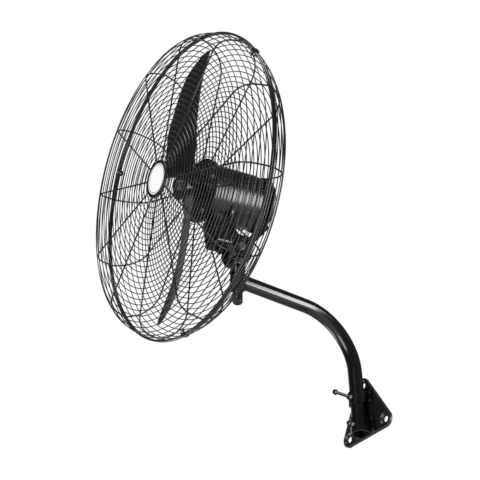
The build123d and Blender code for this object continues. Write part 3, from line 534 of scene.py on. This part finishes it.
def makeSpokes(name, line):
    sizes = {
        **inMetres(line), "Wire radius": spokeSet["wire"] * mm, "Count": spokeSet["count"],
        "First angle": radians(spokeSet["start"]), **guardShared,
    }
    tree, given, identifiers = treeWith(name + "Tree", sizes)
    profile = profileNodes(tree, given)
    spoke = wireAlong(tree, profile.outputs[0], given.outputs["Wire radius"], spokeSet["sides"])
    places = addNode(tree, "GeometryNodePoints", links={"Count": given.outputs["Count"]})
    index = addNode(tree, "GeometryNodeInputIndex")
    step = addNode(
        tree, "ShaderNodeMath", {"operation": "DIVIDE"},
        values={0: 2 * pi},
        links={1: given.outputs["Count"]},
    )
    angle = addNode(
        tree, "ShaderNodeMath", {"operation": "MULTIPLY_ADD"},
        links={0: index.outputs[0], 1: step.outputs[0], 2: given.outputs["First angle"]},
    )
    back = addNode(
        tree, "ShaderNodeMath", {"operation": "MULTIPLY"},
        values={1: -1.0},
        links={0: angle.outputs[0]},
    )
    turn = addNode(tree, "ShaderNodeCombineXYZ", links={"Y": back.outputs[0]})
    copies = addNode(
        tree, "GeometryNodeInstanceOnPoints",
        links={"Points": places.outputs[0], "Instance": spoke.outputs[0], "Rotation": turn.outputs[0]},
    )
    finishTree(tree, given, copies.outputs[0])
    return meshFromTree(name, tree, identifiers, sizes)


ringSet = {"wire": 1.3, "pitch": 14.0, "rise": 3.45, "segments": 144, "sides": 8}


def makeRings(name, line, first, count, outward):
    sizes = {
        **inMetres(line), "Wire radius": ringSet["wire"] * mm, "Pitch": ringSet["pitch"] * mm,
        "First ring": first * mm, "Count": count,
        "Rise": outward * ringSet["rise"] * mm, **guardShared,
    }
    tree, given, identifiers = treeWith(name + "Tree", sizes)
    profile = profileNodes(tree, given)
    places = addNode(tree, "GeometryNodePoints", links={"Count": given.outputs["Count"]})
    index = addNode(tree, "GeometryNodeInputIndex")
    run = addNode(
        tree, "ShaderNodeMath", {"operation": "MULTIPLY_ADD"},
        links={0: index.outputs[0], 1: given.outputs["Pitch"], 2: given.outputs["First ring"]},
    )
    spot = addNode(
        tree, "GeometryNodeSampleCurve", {"mode": "LENGTH", "use_all_curves": True},
        links={"Curves": profile.outputs[0], "Length": run.outputs[0]},
    )
    along = addNode(tree, "ShaderNodeSeparateXYZ", links={0: spot.outputs["Tangent"]})
    outY = addNode(
        tree, "ShaderNodeMath", {"operation": "MULTIPLY"},
        links={0: along.outputs["Z"], 1: given.outputs["Rise"]},
    )
    outR = addNode(
        tree, "ShaderNodeMath", {"operation": "MULTIPLY"},
        links={0: along.outputs["Y"], 1: given.outputs["Rise"]},
    )
    at = addNode(tree, "ShaderNodeSeparateXYZ", links={0: spot.outputs["Position"]})
    depth = addNode(
        tree, "ShaderNodeMath", {"operation": "ADD"},
        links={0: at.outputs["Y"], 1: outY.outputs[0]},
    )
    radius = addNode(
        tree, "ShaderNodeMath", {"operation": "SUBTRACT"},
        links={0: at.outputs["Z"], 1: outR.outputs[0]},
    )
    centre = addNode(tree, "ShaderNodeCombineXYZ", links={"Y": depth.outputs[0]})
    placed = addNode(
        tree, "GeometryNodeSetPosition",
        links={"Geometry": places.outputs[0], "Position": centre.outputs[0]},
    )
    loop = addNode(
        tree, "GeometryNodeCurvePrimitiveCircle",
        values={"Resolution": ringSet["segments"], "Radius": 1.0},
    )
    scale = addNode(
        tree, "ShaderNodeCombineXYZ",
        links={"X": radius.outputs[0], "Y": radius.outputs[0], "Z": radius.outputs[0]},
    )
    rings = addNode(
        tree, "GeometryNodeInstanceOnPoints", values={"Rotation": Euler((pi / 2, 0, 0))},
        links={"Points": placed.outputs[0], "Instance": loop.outputs[0], "Scale": scale.outputs[0]},
    )
    curves = addNode(tree, "GeometryNodeRealizeInstances", links={"Geometry": rings.outputs[0]})
    wires = wireAlong(tree, curves.outputs[0], given.outputs["Wire radius"], ringSet["sides"])
    finishTree(tree, given, wires.outputs[0])
    return meshFromTree(name, tree, identifiers, sizes)


rimSet = {"radius": 409.5, "wire": 3.0, "offset": 3.05, "segments": 240, "sides": 14}


def makeRims(name):
    sizes = {
        "Rim radius": rimSet["radius"] * mm, "Wire radius": rimSet["wire"] * mm,
        "Offset": rimSet["offset"] * mm, **guardShared,
    }
    tree, given, identifiers = treeWith(name + "Tree", sizes)
    loop = addNode(
        tree, "GeometryNodeCurvePrimitiveCircle",
        values={"Resolution": rimSet["segments"]},
        links={"Radius": given.outputs["Rim radius"]},
    )
    upright = addNode(
        tree, "GeometryNodeTransform",
        values={"Rotation": Euler((pi / 2, 0, 0))},
        links={"Geometry": loop.outputs[0]},
    )
    rim = wireAlong(tree, upright.outputs[0], given.outputs["Wire radius"], rimSet["sides"])
    places = addNode(tree, "GeometryNodePoints", values={"Count": 2})
    index = addNode(tree, "GeometryNodeInputIndex")
    side = addNode(
        tree, "ShaderNodeMath", {"operation": "MULTIPLY_ADD"},
        values={1: 2.0, 2: -1.0},
        links={0: index.outputs[0]},
    )
    shift = addNode(
        tree, "ShaderNodeMath", {"operation": "MULTIPLY"},
        links={0: side.outputs[0], 1: given.outputs["Offset"]},
    )
    centre = addNode(tree, "ShaderNodeCombineXYZ", links={"Y": shift.outputs[0]})
    placed = addNode(
        tree, "GeometryNodeSetPosition",
        links={"Geometry": places.outputs[0], "Position": centre.outputs[0]},
    )
    both = addNode(
        tree, "GeometryNodeInstanceOnPoints",
        links={"Points": placed.outputs[0], "Instance": rim.outputs[0]},
    )
    finishTree(tree, given, both.outputs[0])
    return meshFromTree(name, tree, identifiers, sizes)


def takePlace(piece, body, slotName, *replaced):
    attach(piece, body)
    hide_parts(*replaced)


takePlace(
    makeRings("frontGuardRings", frontLine, 21.0, 27, -1), "head", "guard_wire", "front_guard_rings",
    "front_guard_side_rings",
)
takePlace(
    makeRings("rearGuardRings", rearLine, 18.0, 25, 1), "head", "guard_wire", "rear_guard_rings",
    "rear_guard_side_rings",
)
takePlace(makeSpokes("frontGuardSpokes", frontLine), "head", "guard_wire", "front_guard_spokes")
takePlace(makeSpokes("rearGuardSpokes", rearLine), "head", "guard_wire", "rear_guard_spokes")
takePlace(makeRims("guardRims"), "head", "guard_wire", "front_guard_rim", "rear_guard_rim")

print("scene done")
